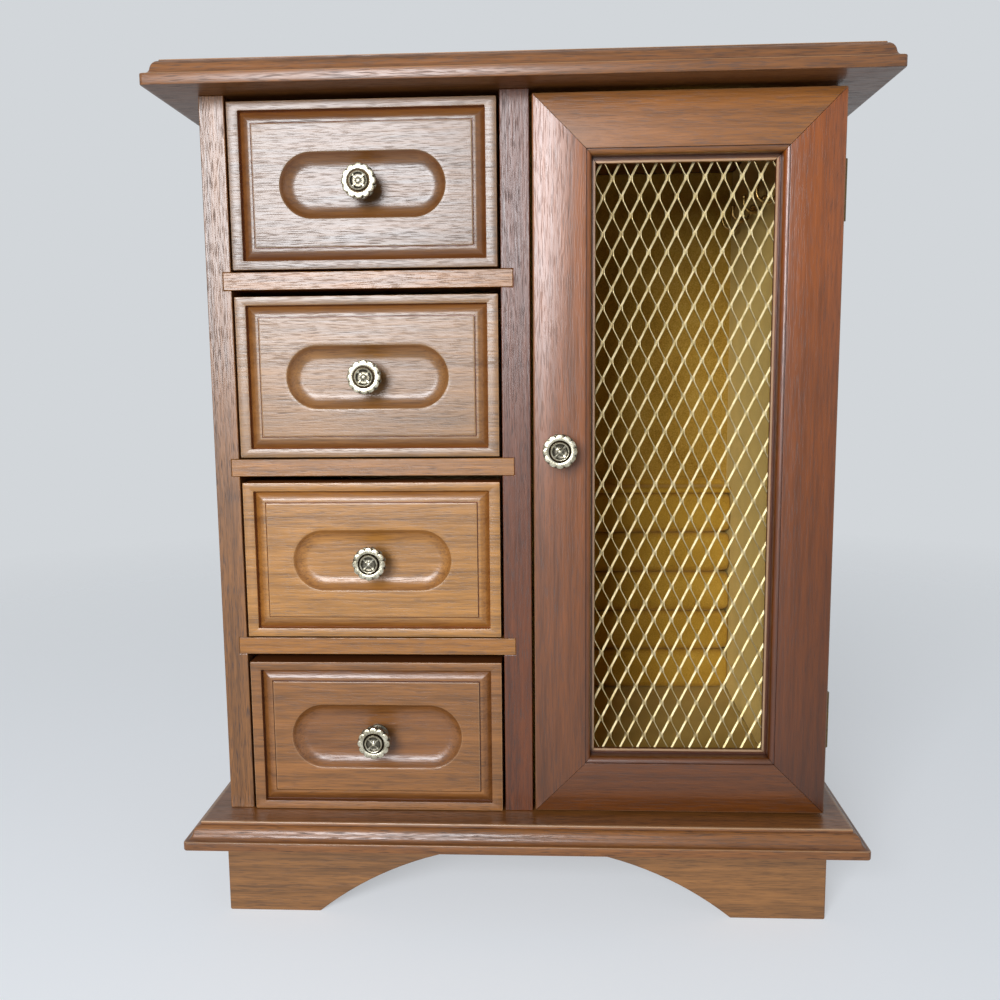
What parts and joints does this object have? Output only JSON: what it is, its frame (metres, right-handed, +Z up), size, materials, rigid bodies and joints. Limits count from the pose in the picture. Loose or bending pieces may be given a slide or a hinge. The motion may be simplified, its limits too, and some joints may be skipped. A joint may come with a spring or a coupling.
{
  "type": "tabletop jewellery cabinet",
  "caption": "Tabletop wooden jewellery cabinet with a column of small drawers beside a mesh-fronted door, moulded top and base, arched plinth.",
  "frame": {"origin": "on the floor, under the middle of the whole cabinet's box", "axes": "+Z up, +X to the right seen from the front, +Y to the back; the drawers and the door face -Y"},
  "size_m": [0.297, 0.2124, 0.3662],
  "materials": {
    "stained_wood": "satin lacquer over a brown stain",
    "drawer_front_wood": "satin lacquer over a light brown stain",
    "plain_wood": "unfinished",
    "gold_velvet": "short velvet pile",
    "padded_velvet": "short velvet pile over padding",
    "brass": "polished, slightly dulled",
    "brass_mesh": "pale bright brass",
    "antique_brass": "antique, dark in the recesses",
    "catch_steel": "zinc plated",
    "catch_plastic": "moulded"
  },
  "bodies": {
    "case": {"top_board": "stained_wood", "base_board": "stained_wood", "left_side": "stained_wood", "right_side": "stained_wood", "centre_partition": "stained_wood", "back_panel": "plain_wood", "rail_upper": "stained_wood", "rail_middle": "stained_wood", "rail_lower": "stained_wood", "drawer_runners": "plain_wood", "plinth_front_board": "stained_wood", "plinth_left_board": "stained_wood", "plinth_right_board": "stained_wood", "plinth_back_board": "plain_wood", "plinth_glue_blocks": "plain_wood", "back_lining": "gold_velvet", "left_lining": "gold_velvet", "right_lining": "gold_velvet", "floor_lining": "gold_velvet", "ring_rolls": "padded_velvet", "wall_hooks": "brass", "magnet_catch": "catch_plastic", "hinge_case_leaves": "brass", "hinge_pins": "brass", "hinge_case_screws": "brass"},
    "door": {"door_knob_stile": "stained_wood", "door_hinge_stile": "stained_wood", "door_top_rail": "stained_wood", "door_bottom_rail": "stained_wood", "door_mesh": "brass_mesh", "mesh_strips": "stained_wood", "door_knob": "antique_brass", "catch_plate": "catch_steel", "hinge_door_leaves": "brass", "hinge_door_screws": "brass"},
    "drawer_1": {"drawer_1_front": "drawer_front_wood", "drawer_1_sides": "plain_wood", "drawer_1_back": "plain_wood", "drawer_1_bottom": "plain_wood", "drawer_1_lining": "gold_velvet", "drawer_1_knob": "antique_brass"},
    "drawer_2": {"drawer_2_front": "drawer_front_wood", "drawer_2_sides": "plain_wood", "drawer_2_back": "plain_wood", "drawer_2_bottom": "plain_wood", "drawer_2_lining": "gold_velvet", "drawer_2_knob": "antique_brass"},
    "drawer_3": {"drawer_3_front": "drawer_front_wood", "drawer_3_sides": "plain_wood", "drawer_3_back": "plain_wood", "drawer_3_bottom": "plain_wood", "drawer_3_lining": "gold_velvet", "drawer_3_knob": "antique_brass"},
    "drawer_4": {"drawer_4_front": "drawer_front_wood", "drawer_4_sides": "plain_wood", "drawer_4_back": "plain_wood", "drawer_4_bottom": "plain_wood", "drawer_4_lining": "gold_velvet", "drawer_4_knob": "antique_brass"}
  },
  "joints": [
    {"name": "door_hinge", "type": "hinge", "parent": "case", "child": "door", "pos_m": [0.1332, -0.07455, 0.2016], "axis": [0, 0, 1], "range_deg": [0, 180]},
    {"name": "drawer_1_slide", "type": "slide", "parent": "case", "child": "drawer_1", "axis": [0, -1, 0], "range_m": [0, 0.14]},
    {"name": "drawer_2_slide", "type": "slide", "parent": "case", "child": "drawer_2", "axis": [0, -1, 0], "range_m": [0, 0.14]},
    {"name": "drawer_3_slide", "type": "slide", "parent": "case", "child": "drawer_3", "axis": [0, -1, 0], "range_m": [0, 0.14]},
    {"name": "drawer_4_slide", "type": "slide", "parent": "case", "child": "drawer_4", "axis": [0, -1, 0], "range_m": [0, 0.14]}
  ]
}
